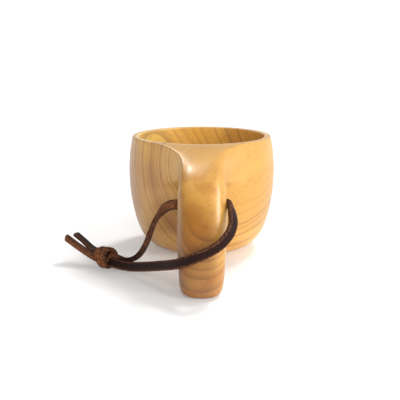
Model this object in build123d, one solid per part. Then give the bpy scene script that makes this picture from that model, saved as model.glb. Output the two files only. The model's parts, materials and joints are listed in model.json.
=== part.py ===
from build123d import *
import math
import os

# A kuksa: a wooden drinking cup carved from one blank, with a down-turned handle
# arm that rests its tip on the table, and a leather thong looped through the arm.
# Millimetres. +Z is up, the foot's centre is the origin, and the arm points to -Y.

# ---- driving dimensions -------------------------------------------------------
cup_height = 66.7          # table to the flat of the rim
foot_radius = 24.0         # flat ring that the bowl stands on
hip_radius = 38.9          # where the rounded foot turns into the wall ...
hip_height = 15.5          # ... and how high that is
belly_radius = 43.2        # widest girth of the bowl ...
belly_height = 44.0        # ... and its height
rim_radius = 41.0          # outside of the rim
rim_wall = 3.7             # wood left at the rim
side_wall = 4.2            # wood left at the belly
floor_wall = 7.0           # wood left under the drink
cavity_floor_radius = 20.0
cavity_hip_radius = 35.0
cavity_hip_height = 19.5
rim_round = 1.1            # sanded edges of the rim

thong_bore_diameter = 7.0  # hole through the arm for the thong
thong_bore_y = -68.5
thong_bore_z = 41.0
tip_round = 5.0            # rounded end of the arm

thong_diameter = 4.0       # the flat lace is stood in for by a round cord
knot_length = 12.6
knot_thickness = 11.4
knot_centre = (-52.7, -48.0, 5.7)
tail_diameter = 3.2

# ---- stations along the arm ---------------------------------------------------
# Each station is one cross-section: its point on the back of the arm (y, z), how
# far the back has turned down from level, the arm's depth, its half width, how far
# it stands off the middle plane, and the rounding of its outer and inner edges.
arm_stations = [
    # back y, back z, slope, depth, half width, aside, outer round, inner round
    (-28.0, 66.4, 0.0, 26.0, 28.4, 0.0, 1.5, 7.0),
    (-35.0, 66.4, 0.0, 25.0, 23.4, 0.0, 1.6, 7.0),
    (-41.0, 66.1, 5.0, 22.5, 18.6, 0.0, 2.0, 7.0),
    (-47.0, 65.2, 13.0, 20.5, 14.6, 0.4, 3.0, 7.0),
    (-53.5, 63.3, 20.0, 19.5, 11.9, 1.0, 4.6, 7.0),
    (-60.5, 60.3, 28.0, 19.0, 10.8, 1.4, 6.2, 7.0),
    (-67.5, 56.0, 38.0, 19.0, 11.0, 1.1, 7.2, 7.0),
    (-74.0, 50.0, 49.0, 19.0, 11.6, 0.6, 7.8, 7.0),
    (-80.2, 41.9, 57.5, 19.0, 12.0, 0.3, 8.0, 7.0),
    (-86.3, 30.2, 67.0, 18.6, 11.8, 0.2, 8.0, 7.0),
    (-91.0, 16.5, 74.5, 18.2, 11.3, 0.0, 8.0, 7.0),
    (-94.0, 3.0, 80.0, 17.8, 10.6, 0.0, 7.6, 6.6),
    (-95.4, -6.0, 82.0, 17.6, 10.2, 0.0, 7.4, 6.4),
]
back_crown = 0.9           # how far the arm's back and belly bulge
side_crown = 0.5

# ---- route of the thong -------------------------------------------------------
# Corner points of each run, from the middle of the bore to inside the knot.
left_run_points = [
    (0, -68.5, 41.0), (-14.8, -68.5, 41.0), (-20.6, -63.2, 34.4), (-25.0, -57.6, 24.0),
    (-30.4, -53.4, 14.0), (-36.2, -50.4, 8.2), (-42.6, -48.4, 6.6), (-48.6, -46.8, 7.4),
]
right_run_points = [
    (0, -68.5, 41.0), (14.8, -68.5, 41.0), (17.2, -77.6, 36.6), (15.8, -87.4, 31.4),
    (8.8, -95.0, 27.0), (-1.6, -97.2, 22.2), (-11.4, -91.6, 16.4), (-20.4, -78.6, 11.0),
    (-31.0, -66.2, 6.2), (-40.4, -56.4, 3.0), (-48.8, -50.1, 3.4),
]
tail_front_points = [(-57.0, -48.0, 5.6), (-64.0, -42.4, 8.6), (-70.4, -38.0, 11.4), (-76.0, -34.6, 14.6)]
tail_back_points = [(-56.6, -45.4, 8.6), (-61.4, -40.8, 11.0), (-66.6, -35.6, 14.0), (-72.0, -30.6, 16.4)]


def bowl_blank():
    """The turned outside of the bowl, solid, with the rim's outer edge sanded round."""
    wall = ThreePointArc((hip_radius, hip_height), (belly_radius, belly_height), (rim_radius, cup_height - rim_round))
    foot_curve = TangentArc((hip_radius, hip_height), (foot_radius, 0), tangent=-(wall % 0))
    edge = RadiusArc(wall @ 1, (rim_radius - rim_round, cup_height), rim_round * 1.02)
    top = Line(edge @ 1, (0, cup_height))
    axis = Line(top @ 1, (0, 0))
    base = Line(axis @ 1, foot_curve @ 1)
    outline = Plane.XZ * make_face([wall, foot_curve, edge, top, axis, base])
    return revolve(outline, Axis.Z)


def cavity():
    """What the carver hollows out, taken a little above the rim."""
    mouth = rim_radius - rim_wall
    deep = belly_radius - side_wall
    wall = ThreePointArc((cavity_hip_radius, cavity_hip_height), (deep, belly_height), (mouth, cup_height - rim_round))
    bottom_curve = TangentArc(
        (cavity_hip_radius, cavity_hip_height), (cavity_floor_radius, floor_wall), tangent=-(wall % 0)
    )
    lip = RadiusArc(wall @ 1, (mouth + rim_round, cup_height), -rim_round * 1.02)
    rise = Line(lip @ 1, (mouth + rim_round, cup_height + 5))
    cap = Line(rise @ 1, (0, cup_height + 5))
    axis = Line(cap @ 1, (0, floor_wall))
    bottom = Line(axis @ 1, bottom_curve @ 1)
    outline = Plane.XZ * make_face([wall, bottom_curve, lip, rise, cap, axis, bottom])
    return revolve(outline, Axis.Z)


def arm_section(back_y, back_z, slope, depth, half_width, aside, outer_round, inner_round):
    """One rounded cross-section of the arm, square to the line of the arm."""
    turn = math.radians(slope)
    outward = Vector(0, -math.sin(turn), math.cos(turn))
    back = Vector(aside, back_y, back_z)
    plane = Plane(origin=back - outward * (depth / 2), x_dir=(1, 0, 0), z_dir=Vector(1, 0, 0).cross(outward))
    corner_x = half_width - side_crown
    corner_y = depth / 2 - back_crown
    sides = [
        ThreePointArc((-corner_x, corner_y), (0, depth / 2), (corner_x, corner_y)),
        ThreePointArc((corner_x, corner_y), (half_width, 0), (corner_x, -corner_y)),
        ThreePointArc((corner_x, -corner_y), (0, -depth / 2), (-corner_x, -corner_y)),
        ThreePointArc((-corner_x, -corner_y), (-half_width, 0), (-corner_x, corner_y)),
    ]
    face = make_face(sides)
    outer = face.vertices().group_by(Axis.Y)[-1]
    face = fillet(outer, outer_round)
    inner = face.vertices().group_by(Axis.Y)[0]
    face = fillet(inner, inner_round)
    return plane * face


def arm():
    """The handle arm, lofted through its stations and sawn level at the table."""
    body = loft([arm_section(*station) for station in arm_stations])
    above_table = Pos(0, -60, 50) * Box(120, 120, 100)
    body = body & above_table
    end = body.faces().sort_by(Axis.Z)[0]
    return fillet(end.edges(), tip_round)


def cup():
    body = bowl_blank() + arm() - cavity()
    bore = Pos(0, thong_bore_y, thong_bore_z) * Rot(0, 90, 0) * Cylinder(thong_bore_diameter / 2, 60)
    return body - bore


def cord(points, diameter, name):
    """A round cord along straight runs joined by the largest arcs they allow."""
    corners = [Vector(*p) for p in points]
    radii = []
    for before, corner, after in zip(corners, corners[1:], corners[2:]):
        shorter = min((corner - before).length, (after - corner).length)
        turn = math.radians((corner - before).get_angle(after - corner))
        radii.append(0.45 * shorter / math.tan(turn / 2))
    path = FilletPolyline(*corners, radius=radii)
    start = Plane(origin=path @ 0, z_dir=path % 0)
    body = sweep(start * Circle(diameter / 2), path=path)
    section = math.pi * diameter ** 2 / 4
    print(name, "length", round(path.length, 1), "radii", [round(r, 1) for r in radii],
          "volume over section times length", round(body.volume / (section * path.length), 4))
    return body


def knot():
    """The lump of the overhand knot, resting on the table."""
    outline = Ellipse(knot_length / 2, knot_thickness / 2) & Pos(0, knot_thickness) * Rectangle(
        2 * knot_length, 2 * knot_thickness
    )
    return Pos(*knot_centre) * revolve(outline, Axis.X)


nodes = {
    "cup_body": cup(),
    "thong_left_run": cord(left_run_points, thong_diameter, "thong_left_run"),
    "thong_right_run": cord(right_run_points, thong_diameter, "thong_right_run"),
    "thong_knot": knot(),
    "thong_tail_front": cord(tail_front_points, tail_diameter, "thong_tail_front"),
    "thong_tail_back": cord(tail_back_points, tail_diameter, "thong_tail_back"),
}

os.makedirs("parts", exist_ok=True)
for name, solid in nodes.items():
    solid.label = name
    export_step(solid, f"parts/{name}.step")
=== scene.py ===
# %% [markdown]
# A kuksa: a drinking cup carved from one piece of wood, with a leather thong
# through its handle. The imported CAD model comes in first. It fixes the sizes, the
# places and what moves, and every piece below is laid around it, in metres.

import json
import math

import bmesh
import bpy
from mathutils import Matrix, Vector, noise


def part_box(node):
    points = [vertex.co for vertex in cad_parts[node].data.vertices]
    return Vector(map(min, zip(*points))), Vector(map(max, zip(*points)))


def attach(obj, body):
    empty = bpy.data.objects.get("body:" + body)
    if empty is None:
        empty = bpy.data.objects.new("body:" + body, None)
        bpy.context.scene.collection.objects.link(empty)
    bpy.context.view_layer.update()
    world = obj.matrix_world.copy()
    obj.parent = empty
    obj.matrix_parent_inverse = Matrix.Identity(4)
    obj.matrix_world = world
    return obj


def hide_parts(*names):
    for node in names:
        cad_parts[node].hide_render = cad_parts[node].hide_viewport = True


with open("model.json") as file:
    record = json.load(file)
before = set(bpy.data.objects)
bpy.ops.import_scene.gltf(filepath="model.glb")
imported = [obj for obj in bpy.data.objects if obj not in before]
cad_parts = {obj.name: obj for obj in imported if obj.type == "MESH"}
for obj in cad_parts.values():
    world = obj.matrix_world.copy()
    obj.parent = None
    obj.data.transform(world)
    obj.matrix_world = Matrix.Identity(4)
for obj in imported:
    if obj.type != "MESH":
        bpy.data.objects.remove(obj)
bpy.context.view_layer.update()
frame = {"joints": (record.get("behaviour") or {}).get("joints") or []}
MM = 0.001
cup_low, cup_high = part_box("cup_body")
hinge = frame["joints"][0]
BORE = Vector(hinge["pos_m"])
RIM_Z = cup_high.z
print("cup is", [round(1000 * s, 1) for s in cup_high - cup_low], "mm, bore at", tuple(BORE))

# %% [markdown]
# The camera comes early, because the loose thong is judged against its view. It
# looks along +Y at the back of the handle arm, a little from above. A long lens
# from further off would flatten the bowl, and a short one would swell the arm, so
# the lens and the distance were chosen together.

# %% Camera
CAMERA_DISTANCE = 0.400
CAMERA_HEIGHT = 0.1208
CAMERA_TILT = math.radians(13.2)
CAMERA_ASIDE = -0.95 * MM
CAMERA_LENS = 60.9

camera_data = bpy.data.cameras.new("camera")
camera_data.lens = CAMERA_LENS
camera = bpy.data.objects.new("camera", camera_data)
camera.location = (CAMERA_ASIDE, -CAMERA_DISTANCE, CAMERA_HEIGHT)
camera.rotation_euler = (math.pi / 2 - CAMERA_TILT, 0, 0)
bpy.context.collection.objects.link(camera)
bpy.context.scene.camera = camera
print("camera is", CAMERA_DISTANCE, "m away and looks down", round(math.degrees(CAMERA_TILT), 1), "degrees")

# %% [markdown]
# A flat leather lace is a strip that bends easily one way and hardly the other. It
# could be a curve with a bevel, but a bevel can't fray at its edges. So each loose
# run is laid as one smooth line, and the strip's outline is swept along it, with
# its width turned at a few listed places, because a lace twists as it hangs.

# %% A smooth line for the lace
def smooth_line(points_mm, steps=10):
    """The points of a smooth line steered by the given corner points."""
    curve = bpy.data.curves.new("route", "CURVE")
    curve.dimensions = "3D"
    curve.resolution_u = steps
    spline = curve.splines.new("NURBS")
    spline.points.add(len(points_mm) - 1)
    for point, place in zip(spline.points, points_mm):
        point.co = (*(MM * c for c in place), 1.0)
    spline.order_u = 3
    spline.use_endpoint_u = True
    guide = bpy.data.objects.new("route", curve)
    bpy.context.collection.objects.link(guide)
    bpy.context.view_layer.update()
    drawn = bpy.data.meshes.new_from_object(guide)
    line = [v.co.copy() for v in drawn.vertices]
    bpy.data.objects.remove(guide)
    bpy.data.meshes.remove(drawn)
    return line


# %% The outline of the lace
LACE_WIDTH = 5.0 * MM
LACE_THICKNESS = 2.7 * MM
CORNER_SHARE = 0.32  # of the thickness
FACE_SWELL = 0.04 * MM
OUTLINE_CORNER_STEPS = 3


def lace_outline(width, thickness):
    """The lace's cross-section: points as (across, out)."""
    corner = CORNER_SHARE * thickness
    half_w, half_t = width / 2 - corner, thickness / 2 - corner
    centres = ((half_w, half_t), (-half_w, half_t), (-half_w, -half_t), (half_w, -half_t))
    ring = []
    for quarter, centre in enumerate(centres):
        for step in range(OUTLINE_CORNER_STEPS):
            turn = quarter * math.pi / 2 + step * math.pi / 4
            ring.append((centre[0] + corner * math.cos(turn), centre[1] + corner * math.sin(turn)))
        if quarter % 2 == 0:
            side = 1 if quarter == 0 else -1
            ring += [(side * f * half_w, side * (thickness / 2 + FACE_SWELL)) for f in (0.5, 0.0, -0.5)]
    return ring


# %% [markdown]
# Knife-cut leather is never quite straight. A coarse and a fine noise push the
# strip's two edges in and out, and a slow one makes the whole strip wave a little.

# %% Fray the edges and sweep the strip
FRAY = 0.16 * MM
COARSE_FRAY, FINE_FRAY = 1.1 * MM, 0.45 * MM  # lengths between tufts
WAVE, WAVE_LENGTH = 0.10 * MM, 6 * MM
CUT_END_V = 0.02  # the cut ends take the look of the lace's edge
UV_LENGTH = 10 * MM


def direction_at(share, widths):
    """The direction of the lace's width at a share of its length, eased between the given ones."""
    for (s0, w0), (s1, w1) in zip(widths, widths[1:]):
        if share <= s1 + 1e-9:
            blend = (share - s0) / (s1 - s0)
            blend = blend * blend * (3 - 2 * blend)
            return Vector(w0).normalized().lerp(Vector(w1).normalized(), blend)


def frayed(x, y, gone, width, seed):
    """The outline point (x, y), pushed by the fray and the wave, a length along the lace."""
    side = math.copysign(1, x)
    ragged = noise.noise(Vector((gone / COARSE_FRAY, 3.7 * side, seed)))
    ragged += 0.6 * noise.noise(Vector((gone / FINE_FRAY, 9.1 * side + 2 * y / MM, seed)))
    push = FRAY * ragged * (abs(x) / (width / 2)) ** 4
    wave = WAVE * noise.noise(Vector((gone / WAVE_LENGTH, 5.0, seed)))
    return x + math.copysign(push, x), y + wave


def lay_lace(name, line, widths, width=LACE_WIDTH, thickness=LACE_THICKNESS, seed=0.0):
    """Sweeps the lace along a line. widths lists (share of the length, direction of its width)."""
    count = len(line)
    lengths = [0.0]
    for a, b in zip(line, line[1:]):
        lengths.append(lengths[-1] + (b - a).length)
    ring = lace_outline(width, thickness)
    n = len(ring)
    verts, faces, uvs = [], [], []
    for i, place in enumerate(line):
        heading = (line[min(i + 1, count - 1)] - line[max(i - 1, 0)]).normalized()
        across = direction_at(lengths[i] / lengths[-1], widths)
        across = (across - across.dot(heading) * heading).normalized()
        out = across.cross(heading).normalized()
        for x, y in ring:
            dx, dy = frayed(x, y, lengths[i], width, seed)
            verts.append(place + across * dx + out * dy)
    for i in range(count - 1):
        for j in range(n):
            k = (j + 1) % n
            faces.append((i * n + j, i * n + k, (i + 1) * n + k, (i + 1) * n + j))
            v0, v1 = j / n, (j + 1) / n
            uvs += [(lengths[i], v0), (lengths[i], v1), (lengths[i + 1], v1), (lengths[i + 1], v0)]
    for end, order in ((0, -1), (count - 1, 1)):
        faces.append([end * n + j for j in range(n)][::order])
        uvs += [(lengths[end], CUT_END_V)] * n
    mesh = bpy.data.meshes.new(name)
    mesh.from_pydata(verts, [], faces)
    layer = mesh.uv_layers.new(name="lace")
    for loop, uv in zip(layer.data, uvs):
        loop.uv = (uv[0] / UV_LENGTH, uv[1])
    mesh.update()
    piece = bpy.data.objects.new(name, mesh)
    bpy.context.collection.objects.link(piece)
    for polygon in mesh.polygons:
        polygon.use_smooth = True
    print(name, "is", round(1000 * lengths[-1], 1), "mm long")
    return piece, lengths[-1]


# %% [markdown]
# The two runs leave the hole on either side of the arm. The left one drops
# straight to the knot. The right one comes round the back of the arm first. Their
# places are corner points in millimetres, given one by one, and the smooth
# line is steered by them.

# %% The two runs of the thong
LEFT_RUN = [
    (0, -68.5, 41.0), (-14.4, -68.5, 41.6), (-21.2, -61.0, 35.8), (-26.2, -55.4, 25.6),
    (-29.4, -52.4, 15.6), (-33.8, -51.2, 7.8), (-39.6, -50.6, 5.0), (-44.6, -49.8, 5.4),
    (-50.2, -47.2, 7.2),
]
LEFT_WIDTHS = [
    (0, (0, -0.3, -1)), (0.25, (0, -0.45, -1)), (0.42, (-0.2, -0.95, -0.3)),
    (0.58, (-0.2, -0.97, 0.0)), (0.82, (-0.3, -0.9, 0.2)), (1, (-0.3, -0.9, -0.2)),
]
RIGHT_RUN = [
    (0, -68.5, 41.0), (13.4, -68.5, 42.2), (14.9, -77.8, 40.4), (15.2, -87.6, 33.4),
    (8.8, -96.2, 27.4), (-1.6, -99.0, 22.8), (-11.4, -93.4, 17.4), (-20.4, -79.6, 12.0),
    (-31.0, -66.2, 6.9), (-40.4, -56.4, 3.6), (-49.8, -50.1, 4.0),
]
RIGHT_WIDTHS = [
    (0, (0, 0, 1)), (0.10, (-0.3, 0, 1)), (0.22, (-0.66, -0.4, 0.6)), (0.34, (-0.55, -0.25, 0.8)),
    (0.47, (-0.15, 0.15, 1)), (0.6, (0, 0.25, 1)), (0.86, (0, 0.35, 1)), (0.95, (0, 0.6, 1)),
    (1, (-0.1, 0.7, 1)),
]
left_line = smooth_line(LEFT_RUN)
right_line = smooth_line(RIGHT_RUN)
left_run, left_length = lay_lace("thong_left_strap", left_line, LEFT_WIDTHS, seed=1.0)
right_run, right_length = lay_lace("thong_right_strap", right_line, RIGHT_WIDTHS, seed=2.0)

# %% [markdown]
# Both ends of the lace are tied together in one overhand knot. A physics knot
# would have to be pulled tight turn by turn, so this one is drawn: the lace is
# wound twice round the two that run through it, while the axis of the winding
# leans over, and that makes the wraps cross as in a real knot.

# %% The tails
TAIL_FRONT = [
    (-50.0, -49.0, 4.0), (-57.0, -48.0, 5.2), (-64.0, -42.8, 7.8), (-70.4, -38.0, 10.4),
    (-76.0, -34.6, 13.4),
]
TAIL_BACK = [
    (-50.0, -46.0, 6.6), (-56.6, -45.0, 8.2), (-61.6, -40.4, 9.4), (-66.0, -35.6, 12.0),
    (-71.2, -30.6, 14.2),
]
tail_front, _ = lay_lace(
    "thong_front_tail", smooth_line(TAIL_FRONT), [(0, (0, 0.5, -1)), (1, (-0.2, 0.5, -1))],
    width=4.4 * MM, thickness=2.4 * MM, seed=3.0,
)
tail_back, _ = lay_lace(
    "thong_back_tail", smooth_line(TAIL_BACK), [(0, (0.1, 1.0, 0.3)), (1, (0.3, 1.0, 0.1))],
    width=3.7 * MM, thickness=2.1 * MM, seed=4.0,
)

# %% The knot
KNOT_CENTRE = Vector((-52.4, -48.0, 6.2))  # mm, as are the next lines
WRAP_RADIUS = 5.1
FIRST_AXIS, LAST_AXIS = Vector((0.85, 0.05, 0.45)), Vector((0.72, -0.66, -0.12))
FIRST_CENTRE, LAST_CENTRE = Vector((-3.2, 0.6, 0.0)), Vector((2.6, -0.4, -0.1))
WRAP_TURNS = 2.1
WRAP_STEPS = 15
wrap_points, wrap_widths = [], []
for k in range(WRAP_STEPS + 1):
    share = k / WRAP_STEPS
    axis = FIRST_AXIS.lerp(LAST_AXIS, share).normalized()
    upward = (Vector((0, 0, 1)) - axis * axis.z).normalized()
    forward = axis.cross(upward)
    turn = 2 * math.pi * (WRAP_TURNS * share + 0.5)
    centre = FIRST_CENTRE.lerp(LAST_CENTRE, share)
    spot = centre + WRAP_RADIUS * (math.cos(turn) * upward - math.sin(turn) * forward)
    wrap_points.append(tuple(KNOT_CENTRE + spot))
    wrap_widths.append((share, tuple(-axis)))
knot, _ = lay_lace(
    "thong_knot_wraps", smooth_line(wrap_points), wrap_widths, width=4.4 * MM, thickness=2.3 * MM, seed=5.0
)

# %% [markdown]
# The cup is one carved piece. Booleans between a bowl and a handle would leave a
# seam to hide. Instead its smooth shape comes from a cage of a few hundred faces:
# rings for the bowl, drawn up outside and down inside, then faces below the rim
# pulled out into the arm. A subdivision surface turns the cage into wood that
# flows from bowl to arm with no seam, as sanding leaves it.

# %% Bowl cage
SEGMENTS = 32
NEARLY = 1e-5  # heights or radii this close, in metres, are the same
RIM_RADIUS = 41.0
RIM_WALL = 3.7
OUTSIDE_RINGS = [
    # radius and height in mm, up the outside; the next list goes down the inside
    (18.0, 0.0), (23.8, 0.0), (28.6, 1.5), (33.4, 4.9), (37.0, 9.6), (39.6, 16.4), (41.7, 25.0), (43.1, 34.6),
    (43.5, 44.5), (43.3, 50.2), (42.9, 55.8), (42.2, 61.3), (RIM_RADIUS, RIM_Z / MM),
]
INSIDE_RINGS = [
    (RIM_RADIUS - RIM_WALL, RIM_Z / MM), (38.4, 59.5), (39.1, 50.5), (39.2, 42.0), (38.6, 33.0), (37.0, 25.0),
    (33.8, 17.6), (28.6, 11.6), (21.6, 7.8), (14.0, 7.0),
]


def in_edit(action):
    """Runs one edit-mode step on the mesh in hand and saves it."""
    work = bmesh.from_edit_mesh(bpy.context.edit_object.data)
    result = action(work)
    bmesh.update_edit_mesh(bpy.context.edit_object.data)
    return result


def select_only(work, items):
    for sequence in (work.verts, work.edges, work.faces):
        for item in sequence:
            item.select = False
    for item in items:
        item.select = True
    work.select_flush_mode()


bpy.ops.object.select_all(action="DESELECT")
first_radius, first_height = OUTSIDE_RINGS[0]
bpy.ops.mesh.primitive_circle_add(
    vertices=SEGMENTS, radius=first_radius * MM, fill_type="NOTHING", location=(0, 0, 0)
)
cup = bpy.context.object
cup.name = "carved_cup"
bpy.ops.object.mode_set(mode="EDIT")
bpy.ops.mesh.select_all(action="SELECT")
radius, height = first_radius, first_height
for next_radius, next_height in OUTSIDE_RINGS[1:] + INSIDE_RINGS:
    bpy.ops.mesh.extrude_edges_move(TRANSFORM_OT_translate={"value": (0, 0, (next_height - height) * MM)})
    scale = next_radius / radius
    bpy.ops.transform.resize(value=(scale, scale, 1), center_override=(0, 0, 0))
    radius, height = next_radius, next_height
bpy.ops.mesh.fill_grid(span=SEGMENTS // 4)
in_edit(lambda work: select_only(work, [e for e in work.edges if e.is_boundary]))
bpy.ops.mesh.fill_grid(span=SEGMENTS // 4)
bpy.ops.mesh.select_all(action="SELECT")
bpy.ops.mesh.normals_make_consistent(inside=False)
bpy.ops.object.mode_set(mode="OBJECT")
print("bowl cage has", len(cup.data.polygons), "faces")

# %% [markdown]
# The carver leaves a block at the front wall and shapes the arm from it. A curve
# with a bevel could stand for the arm, but its cross-section would stay the same,
# and this one goes from flat to square to round. So the faces below the rim are
# extruded, and after each step the cap is laid into the next cross-section, a
# station. Each station lists its back and its finger side in the middle plane, its
# half width, how far it stands aside, and how square its back edges are.

# %% Pull out the arm
ARM_COLUMNS = 3
ARM_ROWS = 4
ARM_STATIONS = [
    # back y, z; finger side y, z; half width, aside; squareness of the back on the left, on the right
    (-46.5, 65.7, -47.4, 46.0, 15.8, 0.0, 10.0, 7.0),
    (-53.2, 63.9, -51.0, 45.2, 12.8, 0.6, 8.0, 4.4),
    (-60.2, 61.2, -54.4, 43.0, 12.0, 0.9, 6.5, 3.2),
    (-66.8, 57.6, -57.0, 40.6, 12.2, 0.5, 5.0, 2.8),
    (-72.2, 53.1, -59.1, 38.0, 12.5, 0.3, 4.2, 2.7),
    (-76.9, 47.8, -60.8, 34.6, 12.6, 0.2, 3.6, 2.7),
    (-81.3, 42.2, -63.6, 31.0, 12.6, 0.2, 3.3, 2.7),
    (-85.7, 34.1, -67.0, 25.3, 12.5, 0.1, 3.1, 2.7),
    (-89.8, 24.6, -70.3, 18.2, 12.3, 0.0, 3.0, 2.7),
    (-93.4, 14.6, -73.5, 9.8, 11.7, -0.1, 2.8, 2.6),
    (-95.8, 7.0, -75.4, 4.8, 11.2, -0.2, 2.7, 2.5),
    (-97.0, 1.7, -76.0, 1.4, 10.5, -0.3, 2.4, 2.4),
    (-93.8, 0.0, -78.4, 0.0, 7.8, -0.3, 2.2, 2.2),
]
FINGER_SQUARENESS = 3.2
WALL_SLACK = 0.3  # mm
column_angle = 2 * math.pi / SEGMENTS
row_heights = sorted({z for _, z in OUTSIDE_RINGS})[-ARM_ROWS - 1:]


def mark_root(work):
    """Notes on each root vertex how far across and how far up the arm it belongs."""
    across = work.verts.layers.float.new("across")
    up = work.verts.layers.float.new("up")
    root = []
    for face in work.faces:
        centre = face.calc_center_median()
        angle = math.atan2(centre.x, -centre.y)
        outside = centre.xy.length > (RIM_RADIUS - WALL_SLACK) * MM
        high = row_heights[0] * MM < centre.z < RIM_Z - NEARLY
        if outside and high and abs(angle) < ARM_COLUMNS * column_angle:
            root.append(face)
            for vert in face.verts:
                vert[across] = math.atan2(vert.co.x, -vert.co.y) / (ARM_COLUMNS * column_angle)
                row = min(range(ARM_ROWS + 1), key=lambda r: abs(row_heights[r] * MM - vert.co.z))
                vert[up] = 2 * row / ARM_ROWS - 1
    select_only(work, root)
    return len(root)


def lay_station(work, station):
    """Moves the selected cap into one cross-section of the arm."""
    back_y, back_z, finger_y, finger_z, half_width, aside, square_left, square_right = station
    across, up = work.verts.layers.float["across"], work.verts.layers.float["up"]
    back, finger = Vector((0, back_y, back_z)), Vector((0, finger_y, finger_z))
    middle, half_depth = (back + finger) / 2, (back - finger) / 2
    for vert in (v for v in work.verts if v.select):
        u, v = vert[across], vert[up]
        square = square_right + (square_left - square_right) * (0.5 - 0.5 * u)
        power = square if v > 0 else FINGER_SQUARENESS
        size = (abs(u) ** power + abs(v) ** power) ** (1 / power)
        reach = max(abs(u), abs(v)) / size if size else 0
        place = middle + half_depth * v * reach + Vector((aside + half_width * u * reach, 0, 0))
        vert.co = place * MM


bpy.ops.object.mode_set(mode="EDIT")
bpy.ops.mesh.select_mode(type="FACE")
print("arm grows out of", in_edit(mark_root), "faces")
for station in ARM_STATIONS:
    bpy.ops.mesh.extrude_region_move(TRANSFORM_OT_translate={"value": (0, 0, 0)})
    in_edit(lambda work: lay_station(work, station))


# %% [markdown]
# Sanding leaves the rim's two edges small and the arm's edges broad. A bevel would
# round an edge evenly along its whole length. An edge crease keeps a subdivision
# surface close to an edge and can change from face to face, so the rim gets one
# all round, and on the arm it fades out towards the knuckle.

# %% Creases
RIM_CREASE = 0.72
LEFT_CREASES = (0.8, 0.75, 0.6, 0.4, 0.15)
RIGHT_CREASES = (0.45, 0.2)
STATION_SLACK = 0.5  # mm


def crease_edges(work):
    """Creases the rim and the arm's two back edges, and counts the creased edges."""
    layer = work.edges.layers.float.get("crease_edge") or work.edges.layers.float.new("crease_edge")
    across, up = work.verts.layers.float["across"], work.verts.layers.float["up"]
    stations = [RIM_RADIUS * math.cos(ARM_COLUMNS * column_angle)] + [-s[0] for s in ARM_STATIONS]
    for edge in work.edges:
        a, b = edge.verts
        flat_rim = min(a.co.z, b.co.z) > RIM_Z - NEARLY
        ring = abs(a.co.xy.length - b.co.xy.length) < NEARLY
        in_root = abs(a[across]) + abs(b[across]) < 1.99 and a[up] > 0.9 and b[up] > 0.9
        if flat_rim and ring and not in_root:
            edge[layer] = RIM_CREASE
        corner = all(abs(v[across]) > 0.99 and v[up] > 0.99 for v in (a, b))
        if corner and a.co.x * b.co.x > 0:
            far = max(-a.co.y, -b.co.y) / MM
            creases = LEFT_CREASES if a.co.x < 0 else RIGHT_CREASES
            for crease, limit in zip(creases, stations[1:]):
                if far < limit + STATION_SLACK:
                    edge[layer] = crease
                    break
    return sum(edge[layer] > 0 for edge in work.edges)


print("creased edges:", in_edit(crease_edges))
bpy.ops.object.mode_set(mode="OBJECT")

# %% [markdown]
# The hole for the thong is bored straight across the arm, and its lip is worn
# round. A boolean would bore it too, but would leave long thin faces round it, and
# those shade badly once they are subdivided. So on each side a patch of four faces
# is inset, its inner ring is set on a circle, and the two rings are bridged.

# %% Hole for the thong
HOLE_RADIUS = 3.5
LIP_RADIUS = 4.6
LIP_ROUNDING = 0.7
LIP_INSET, HOLE_INSET = 1.0 * MM, 0.5 * MM
RING_SHRINK = 0.902  # a subdivided ring of eight shrinks to this share of its cage
SIDE_OUT = 8 * MM  # the arm's side faces stand further out than this


def pick_patch(work):
    """The four faces around the hole, on both sides of the arm."""
    across = work.verts.layers.float["across"]
    patch = []
    for side in (-1, 1):
        centre = min(
            (v for v in work.verts if v.co.x * side > SIDE_OUT and abs(v[across]) > 0.99),
            key=lambda v: (v.co.yz - BORE.yz).length,
        )
        patch += list(centre.link_faces)
    select_only(work, patch)
    return patch


def ring_to_circle(work, radius, inwards):
    """Sets the selected patches' outlines on circles round the hole."""
    chosen = [f for f in work.faces if f.select]
    rim_verts = {v for f in chosen for v in f.verts if not all(g.select for g in v.link_faces)}
    for side in (-1, 1):
        ring = [v for v in rim_verts if v.co.x * side > 0]
        ring.sort(key=lambda v: math.atan2(v.co.z - BORE.z, v.co.y - BORE.y))
        turns = [math.atan2(v.co.z - BORE.z, v.co.y - BORE.y) for v in ring]
        start = sum(t - 2 * math.pi * i / len(ring) for i, t in enumerate(turns)) / len(ring)
        for i, vert in enumerate(ring):
            turn = start + 2 * math.pi * i / len(ring)
            vert.co.y = BORE.y + radius * MM * math.cos(turn)
            vert.co.z = BORE.z + radius * MM * math.sin(turn)
            vert.co.x -= side * inwards * MM


bpy.ops.object.mode_set(mode="EDIT")
print("hole patch has", len(in_edit(pick_patch)), "faces")
bpy.ops.mesh.inset(thickness=LIP_INSET)
in_edit(lambda work: ring_to_circle(work, LIP_RADIUS / RING_SHRINK, 0.0))
bpy.ops.mesh.inset(thickness=HOLE_INSET)
in_edit(lambda work: ring_to_circle(work, HOLE_RADIUS / RING_SHRINK, LIP_ROUNDING))
bpy.ops.mesh.delete(type="FACE")
in_edit(lambda work: select_only(work, [e for e in work.edges if e.is_boundary]))
bpy.ops.mesh.bridge_edge_loops(number_cuts=3)
bpy.ops.mesh.select_all(action="SELECT")
bpy.ops.mesh.normals_make_consistent(inside=False)
bpy.ops.object.mode_set(mode="OBJECT")
print("bored cage has", len(cup.data.polygons), "faces")

# %% [markdown]
# Each level of a subdivision surface cuts every face in four. Three levels leave
# no facet that an eye can find on a cup of this size, and stay below the number of
# triangles that slows a viewer down.

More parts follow.
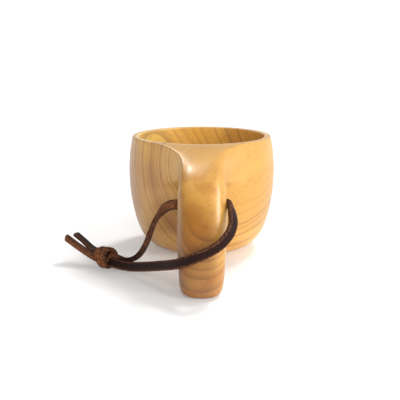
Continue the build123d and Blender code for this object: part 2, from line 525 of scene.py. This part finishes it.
# %% Smooth the cage into wood
smooth = cup.modifiers.new("sanded", "SUBSURF")
smooth.levels = smooth.render_levels = 3
bpy.context.view_layer.objects.active = cup
bpy.ops.object.modifier_apply(modifier=smooth.name)
for polygon in cup.data.polygons:
    polygon.use_smooth = True
corners = [Vector(c) for c in cup.bound_box]
print("carved cup has", len(cup.data.polygons), "faces")
print("it is", [round(1000 * s, 1) for s in cup.dimensions], "mm")
print("from", [round(1000 * c, 1) for c in corners[0]], "to", [round(1000 * c, 1) for c in corners[6]])

# %% [markdown]
# Both finishes are made of many soft masks. They could be wired by hand in the node
# editor, but a hundred small boxes are hard to read or to change. Here they are
# written as sums. This class wraps one socket of a node tree, so that
# `1 - mask * 0.3` adds the Math nodes that work it out.

# %% Shader tools
class Wire:
    """One output socket; arithmetic on it adds Math nodes to its tree."""

    def __init__(self, tree, socket):
        self.tree = tree
        self.socket = socket

    def node(self, kind, settings=None, out=0, **inputs):
        """Adds any node: its settings first, then values or links for its sockets."""
        made = self.tree.nodes.new(kind)
        for key, value in (settings or {}).items():
            setattr(made, key, value)
        for key, value in inputs.items():
            name = key.replace("_", " ")
            socket = made.inputs[int(key[1:])] if key[1:].isdigit() else made.inputs[name]
            if isinstance(value, Wire):
                self.tree.links.new(value.socket, socket)
            else:
                socket.default_value = value
        return Wire(self.tree, made.outputs[out])

    def maths(self, operation, *values):
        """A Math node on the given values."""
        inputs = {f"i{i}": v for i, v in enumerate(values)}
        return self.node("ShaderNodeMath", {"operation": operation}, **inputs)

    def __add__(self, other):
        return self.maths("ADD", self, other)

    __radd__ = __add__

    def __sub__(self, other):
        return self.maths("SUBTRACT", self, other)

    def __rsub__(self, other):
        return self.maths("SUBTRACT", other, self)

    def __mul__(self, other):
        return self.maths("MULTIPLY", self, other)

    __rmul__ = __mul__

    def __truediv__(self, other):
        return self.maths("DIVIDE", self, other)

    def step(self, low, high):
        """0 below low, 1 above high, and smooth between."""
        return self.node("ShaderNodeMapRange", {"interpolation_type": "SMOOTHSTEP"}, i0=self, i1=low, i2=high)

    def vector(self, operation, *values, out=0):
        """A Vector Math node on this wire and the given values."""
        inputs = {f"i{i}": v for i, v in enumerate((self, *values))}
        return self.node("ShaderNodeVectorMath", {"operation": operation}, out=out, **inputs)

    def part(self, axis):
        return self.node("ShaderNodeSeparateXYZ", out=axis, Vector=self)

    def length(self):
        return self.vector("LENGTH", out=1)

    def dot(self, direction):
        return self.vector("DOT_PRODUCT", direction, out=1)

    def distance(self, spot):
        return self.vector("DISTANCE", spot, out=1)

    def noise(self, scale, detail=2.0, roughness=0.5, out="Fac", distortion=0.0):
        """Noise read at this wire, which holds a position."""
        return self.node(
            "ShaderNodeTexNoise", out=out, Vector=self, Scale=scale, Detail=detail, Roughness=roughness,
            Distortion=distortion,
        )

    def layers(self, scale):
        """Noise in layers, read at this wire, which holds one number."""
        return self.node("ShaderNodeTexNoise", {"noise_dimensions": "1D"}, W=self, Scale=scale, Detail=1.0)

    def mix(self, first, second):
        """A colour between first and second, by this wire."""
        return self.node("ShaderNodeMix", {"data_type": "RGBA"}, out=2, Factor=self, i6=first, i7=second)

    def tinted(self, amount, tint):
        """This colour, multiplied by a tint where the amount is 1."""
        return amount.mix(self, self.vector("MULTIPLY", tint))


def new_material(name, roughness, **fixed):
    """A material: its shader, position, UV and a joiner. Fixed numbers go straight on the shader."""
    material = bpy.data.materials.new(name)
    material.use_nodes = True
    tree = material.node_tree
    shader = tree.nodes["Principled BSDF"]
    shader.inputs["Roughness"].default_value = roughness
    for key, value in fixed.items():
        shader.inputs[key.replace("_", " ")].default_value = value
    start = tree.nodes.new("ShaderNodeTexCoord")

    def join(wire, socket):
        tree.links.new(wire.socket, shader.inputs[socket])

    return material, Wire(tree, start.outputs["Object"]), Wire(tree, start.outputs["UV"]), join


# %% [markdown]
# Wood shows where a shape cuts through the growth rings of the tree. A picture
# wrapped round the cup would break at every edge. The rings are long tubes round
# the heart of the log, so the same pattern, placed once through the whole cup,
# gives stripes on the walls, arcs on the end of the arm and long lines along its
# top, and they meet at every edge as they do in real wood.

# %% Rings and fibres
HEART = Vector((63, 0, 87)) * MM
GRAIN = Vector((0.6, 1.0, 0.42)).normalized()
RING_SPACING = 3.7 * MM
FIBRE_STRETCH = 14


def from_heart(place):
    """How far a place is from the line along the heart of the log."""
    centred = place.vector("SUBTRACT", tuple(HEART))
    lengthwise = centred.dot(tuple(GRAIN))
    shaft = place.node("ShaderNodeVectorMath", {"operation": "SCALE"}, i0=tuple(GRAIN), Scale=lengthwise)
    return centred.vector("SUBTRACT", shaft).length()


def along_grain(place):
    """Positions squeezed along the grain, so that a pattern on them is drawn out into fibres."""
    tilt = Vector((0, 1, 0)).rotation_difference(GRAIN).to_euler()
    return place.node(
        "ShaderNodeMapping", {"vector_type": "TEXTURE"},
        Vector=place, Rotation=tuple(tilt), Scale=(1, FIBRE_STRETCH, 1),
    )


def late_wood(distance, fibres):
    """The dark line that ends each year's ring, darker in some years than in others."""
    years = distance / RING_SPACING + distance.layers(130.0) * 1.8 + fibres.noise(60.0, 2.0) * 0.3
    chance = years.node("ShaderNodeTexWhiteNoise", {"noise_dimensions": "1D"}, W=years.maths("FLOOR", years))
    phase = years.maths("FRACT", years)
    return phase.step(0.35, 0.95) * (1 - phase.step(0.95, 1.0)) * (0.25 + 0.75 * chance)


# %% [markdown]
# On top of the rings lie the broad differences, and most are painted light and
# shade: the left, lower side is painted browner as shade, away from the key; the
# inside is painted paler as light, and the upper inside of the left wall paler
# still; the arm has patches, darker on its left above the thong, partly figure and
# partly painted shade, and a paler one on its right, a painted highlight; and its
# foot is painted dark as shade. Each is a soft mask that tints what is below it.

# %% Colours of the wood
GOLDEN, SHADED_TAN = (0.57, 0.295, 0.056, 1), (0.45, 0.224, 0.056, 1)
BROWN_BAND, LATE_LINE = (0.34, 0.145, 0.050, 1), (0.20, 0.075, 0.028, 1)
DARK_FIBRE, LIGHT_CLOUD = (0.32, 0.15, 0.045, 1), (0.68, 0.40, 0.10, 1)
ORANGE_FIGURE, PORE = (0.40, 0.155, 0.026, 1), (0.10, 0.04, 0.015, 1)
INSIDE_PAINTED_LIGHT, LIT_INSIDE_LEFT_TINT = (1.17, 1.20, 1.22), (1.10, 1.36, 1.80)
FOOT_SHADE_TINT = (0.46, 0.34, 0.26)
TIP_END = (-0.009, -0.092, 0.010)
INSIDE_WALL = (0.0385, 0.0398)  # metres from the cup's axis
# Patches on the arm: the three darker ones, low on its left and middle above where the thong crosses, are
# partly the wood's figure and partly painted shade; the last, paler and bluer one on its right is a painted
# highlight.
ARM_FLAMES_AND_PAINTED_LIGHT = [
    # middle of the patch, how far it reaches, its tint
    ((-0.004, -0.090, 0.030), 0.016, (0.94, 0.84, 0.58)),
    ((-0.006, -0.083, 0.040), 0.009, (0.84, 0.74, 0.62)),
    ((0.000, -0.088, 0.033), 0.007, (0.90, 0.82, 0.75)),
    ((0.004, -0.079, 0.047), 0.009, (1.12, 1.12, 1.20)),
]


def ring_colours(wandering, distance, fibres, from_tip):
    """The colour of the rings, with painted shade on the left, lower side, and how dark their lines are."""
    old = distance.step(0.030, 0.052)
    end_lines = 1 - from_tip.step(0.016, 0.032)
    dark = late_wood(distance, fibres) * (0.08 + 0.92 * old.maths("MAXIMUM", old, end_lines))
    # Painted shade: the left, lower side, away from the key light, turns from golden to a darker tan, and the
    # brown bands of the old wood show most there.
    shaded_flank = wandering.dot((-0.8, -0.2, -0.5)).step(-0.004, 0.012)
    colour = shaded_flank.mix(GOLDEN, SHADED_TAN)
    colour = (distance.layers(75.0).step(0.44, 0.62) * old * (0.15 + 0.55 * shaded_flank)).mix(colour, BROWN_BAND)
    return (dark * (0.64 + 0.3 * end_lines)).mix(colour, LATE_LINE), dark


def broad_tints(colour, place, wandering, from_tip):
    """The colour with the broad differences laid over it, most of them painted light and shade."""
    inside = 1 - place.vector("MULTIPLY", (1, 1, 0)).length().step(*INSIDE_WALL)
    # Painted light: the whole inside is painted paler and less saturated.
    colour = colour.tinted(inside, INSIDE_PAINTED_LIGHT)
    # Painted light: the upper inside of the left wall, which faces the light from the right, is painted paler
    # still.
    lit_inside_left = inside * (1 - place.part("X").step(-0.036, -0.004)) * place.part("Z").step(0.020, 0.040)
    colour = colour.tinted(lit_inside_left, LIT_INSIDE_LEFT_TINT)
    for spot, reach, tint in ARM_FLAMES_AND_PAINTED_LIGHT:
        colour = colour.tinted(1 - wandering.distance(spot).step(0.3 * reach, reach), tint)
    on_arm = 1 - place.part("Y").step(-0.070, -0.058)
    figure = place.noise(62.0, 2.0, distortion=0.8).step(0.46, 0.60)
    colour = (figure * on_arm * 0.5).mix(colour, ORANGE_FIGURE)
    # Painted shade: the foot of the arm is painted darker, fully on its left and middle and hardly on its
    # right, where the key light falls.
    foot_shade = (1 - from_tip.step(0.020, 0.054)) * (1 - 0.85 * place.part("X").step(0.002, 0.011))
    return colour.tinted(foot_shade * 0.72, FOOT_SHADE_TINT)


# %% Oiled wood
DRIFT = 0.010  # how far the rings wander


def oiled_wood():
    """The finish of the cup: rings, fibres, broad differences with painted light and shade, and pores, under
    a thin coat of oil.
    """
    material, place, _, join = new_material("oiled_wood", 0.36, Coat_Weight=0.20, Coat_Roughness=0.2)
    drift = place.noise(11.0, 2.0, out="Color").vector("SUBTRACT", (0.5, 0.5, 0.5))
    wandering = place.vector("ADD", drift.vector("MULTIPLY", (DRIFT, DRIFT, DRIFT)))
    fibres = along_grain(place)
    from_tip = wandering.distance(TIP_END)
    colour, dark = ring_colours(wandering, from_heart(wandering), fibres, from_tip)
    fibre = fibres.noise(700.0, 3.0, 0.6)
    colour = (fibre.step(0.4, 0.75) * 0.3).mix(colour, DARK_FIBRE)
    colour = (fibres.noise(45.0, 2.0).step(0.4, 0.7) * 0.3).mix(colour, LIGHT_CLOUD)
    colour = broad_tints(colour, place, wandering, from_tip)
    cells = place.node("ShaderNodeTexVoronoi", {"feature": "F1"}, Vector=fibres, Scale=1100.0)
    pore = (1 - cells.step(0.10, 0.24)) * place.noise(70.0).step(0.46, 0.60)
    join((pore * 0.65).mix(colour, PORE), "Base Color")
    join(0.32 + 0.12 * fibre + 0.1 * dark, "Roughness")
    join(place.node("ShaderNodeBump", Strength=0.10, Distance=0.0002, Height=fibre - pore * 0.8), "Normal")
    return material


cup.data.materials.clear()
cup.data.materials.append(oiled_wood())
print("wood has", len(cup.data.materials[0].node_tree.nodes), "nodes")

# %% [markdown]
# The lace is cut from leather with one polished face. Its cut edges and its back
# are napped, lighter and dull, and fibres stand out of them. The lace's UV map
# says how far round its outline a point lies, so one material can tell the four
# sides apart, where one material for each side would need its faces picked by
# hand. The lower part of the left run is painted near black: painted shade.

# %% Leather
POLISHED = (0.011, 0.005, 0.0045, 1), (0.031, 0.013, 0.011, 1)
NAP = (0.058, 0.020, 0.010, 1), (0.24, 0.090, 0.037, 1)
CUT_EDGE = (0.030, 0.012, 0.008, 1), (0.20, 0.085, 0.044, 1)
LEFT_RUN_SHADE_COLOUR = (0.012, 0.006, 0.005, 1)
SHADE_FROM, SHADE_TO = (-0.048, -0.043), (-0.025, -0.018)  # along X
SHADE_BEHIND = (-0.0555, -0.0530)  # along Y


def lace_leather():
    """The finish of the lace: polished face, cut edges and napped back, told apart by its UV map, with
    painted shade on the lower part of the left run.
    """
    material, place, strip, join = new_material("lace_leather", 0.45, Specular_IOR_Level=0.06)
    round_it = strip.part("Y")
    face = round_it.step(0.095, 0.125) * (1 - round_it.step(0.32, 0.35))
    back = round_it.step(0.57, 0.62) * (1 - round_it.step(0.83, 0.88))
    grain = place.noise(2500.0, 3.0, 0.6)
    tufts = place.noise(1100.0, 4.0, 0.65)
    napped = back.mix(tufts.step(0.35, 0.75).mix(*CUT_EDGE), tufts.step(0.3, 0.72).mix(*NAP))
    colour = face.mix(napped, grain.step(0.3, 0.75).mix(*POLISHED))
    aside, away = place.part("X"), place.part("Y")
    # Painted shade: the lower part of the left run is painted near black.
    left_run_shade = aside.step(*SHADE_FROM) * (1 - aside.step(*SHADE_TO)) * away.step(*SHADE_BEHIND)
    join((left_run_shade * 0.85).mix(colour, LEFT_RUN_SHADE_COLOUR), "Base Color")
    join(0.85 - 0.45 * face, "Roughness")
    join(grain.node("ShaderNodeBump", Strength=0.5, Distance=0.00025, Height=grain + tufts), "Normal")
    return material


leather = lace_leather()
for piece in (left_run, right_run, tail_front, tail_back, knot):
    piece.data.materials.append(leather)
print("leather has", len(leather.node_tree.nodes), "nodes")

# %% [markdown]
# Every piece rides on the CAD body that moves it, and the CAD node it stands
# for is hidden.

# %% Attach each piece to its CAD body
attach(cup, "cup")
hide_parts("cup_body")
for piece, node in (
    (left_run, "thong_left_run"), (right_run, "thong_right_run"), (knot, "thong_knot"),
    (tail_front, "thong_tail_front"), (tail_back, "thong_tail_back"),
):
    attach(piece, "thong")
    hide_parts(node)

# %% [markdown]
# A white table and soft light. Lamps close by would light the table unevenly, so
# all of them are far off. The key from the right and the fill from the front light
# the walls, and the one at the back right throws the soft shadow forward to the
# left. The three glints light nothing: they are only seen mirrored in the oiled
# wood, as a studio's windows are.

# %% Table
TABLE_SIZE = 60.0  # so large that its far edge lies along the horizon
TABLE_WHITE = (0.82, 0.82, 0.82, 1)
TABLE_GLOW = 0.16
bpy.ops.object.select_all(action="DESELECT")
bpy.ops.mesh.primitive_plane_add(size=TABLE_SIZE, location=(0, 0, 0))
table = bpy.context.object
table.name = "table_top"
table_paint = bpy.data.materials.new("white_table")
table_paint.use_nodes = True
table_shader = table_paint.node_tree.nodes["Principled BSDF"]
table_shader.inputs["Base Color"].default_value = TABLE_WHITE
table_shader.inputs["Roughness"].default_value = 0.6
table_shader.inputs["Emission Color"].default_value = (1, 1, 1, 1)
table_shader.inputs["Emission Strength"].default_value = TABLE_GLOW
table.data.materials.append(table_paint)


# %% Lamps
def far_lamp(name, towards, strength, softness, colour=(1, 1, 1), mirrored=True, lit=True):
    """A lamp so far off that its light is even; softness is its apparent size in degrees."""
    data = bpy.data.lights.new(name, "SUN")
    data.energy = strength
    data.angle = math.radians(softness)
    data.color = colour
    lamp = bpy.data.objects.new(name, data)
    lamp.rotation_euler = Vector(towards).to_track_quat("Z", "Y").to_euler()
    lamp.visible_glossy = mirrored
    lamp.visible_diffuse = lit
    bpy.context.collection.objects.link(lamp)


far_lamp("key", (0.84, -0.44, 0.30), 1.72, 32, colour=(1.0, 0.96, 0.90), mirrored=False)
far_lamp("back_right", (0.36, 0.47, 0.80), 1.75, 13, mirrored=False)
far_lamp("front_fill", (0.12, -0.95, 0.32), 1.85, 35, mirrored=False)
far_lamp("side_glint", (0.77, -0.25, 0.59), 2.3, 28, lit=False)
far_lamp("overhead_glint", (-0.17, 0.28, 0.94), 1.3, 8, lit=False)
far_lamp("edge_glint", (-0.38, 0.59, 0.71), 1.1, 16, lit=False)
print("lamps:", [light.name for light in bpy.data.lights])

# %% [markdown]
# The room gives the rest: dim overhead, brighter towards a window behind on the
# right, and white along the horizon, so that the table fades into it. A picture of
# a room would do the same, but three numbers are easier to change.

# %% Room
WINDOW = (0.80, 0.45, 0.40)
DIM, WINDOW_GLOW, HORIZON_GLOW = 0.14, 0.52, 1.05
world = bpy.data.worlds.new("studio")
world.use_nodes = True
room = world.node_tree.nodes["Background"]
room.inputs["Color"].default_value = (1, 1, 1, 1)
looking = Wire(world.node_tree, world.node_tree.nodes.new("ShaderNodeTexCoord").outputs["Generated"])
glow = DIM + WINDOW_GLOW * looking.dot(WINDOW).step(-0.1, 0.95)
horizon = 1 - looking.part("Z").step(0.12, 0.42)
world.node_tree.links.new((glow + horizon * (HORIZON_GLOW - glow)).socket, room.inputs["Strength"])
bpy.context.scene.world = world
bpy.context.scene.view_settings.view_transform = "Standard"
print("room glows from", DIM, "overhead to", HORIZON_GLOW, "along the horizon")
